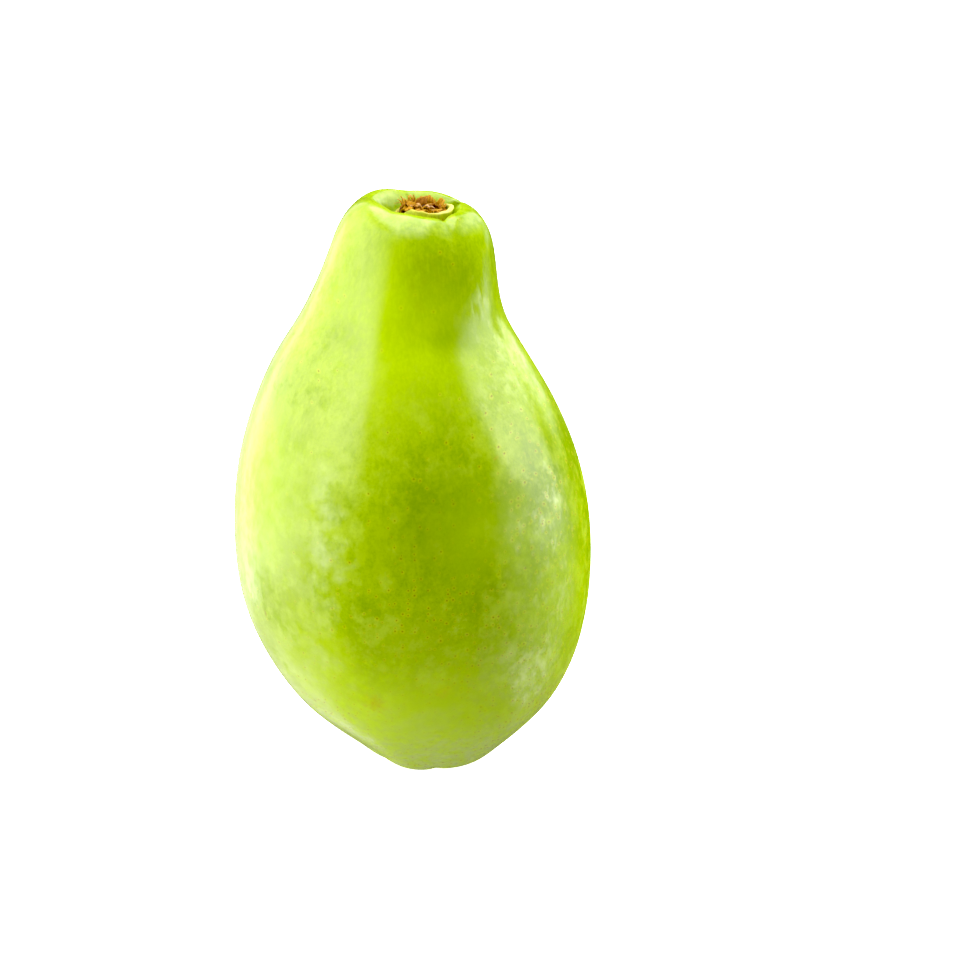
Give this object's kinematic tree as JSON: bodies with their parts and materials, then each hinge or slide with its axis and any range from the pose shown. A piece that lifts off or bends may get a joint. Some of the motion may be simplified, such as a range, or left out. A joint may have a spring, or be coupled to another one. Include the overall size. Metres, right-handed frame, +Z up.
{
  "type": "papaya",
  "caption": "Whole green papaya, pear-shaped, standing upright on its blossom end, with a torn stalk stub in the hollow at the stem end.",
  "frame": {"origin": "on the surface that the fruit stands on, under the middle of the fruit's outer box", "axes": "+Z up from the blossom end to the stem end; -Y is the side that the picture shows; +X is the picture's right"},
  "size_m": [0.1004, 0.1002, 0.1645],
  "materials": {
    "papaya_skin": "waxy satin skin, green",
    "stalk_rind": "yellow-green torn stalk rind, dull",
    "stalk_wood": "dry torn fibres, matte"
  },
  "bodies": {
    "root": {"fruit": "papaya_skin", "stem_rind": "stalk_rind", "stem_wood": "stalk_wood"}
  },
  "joints": []
}
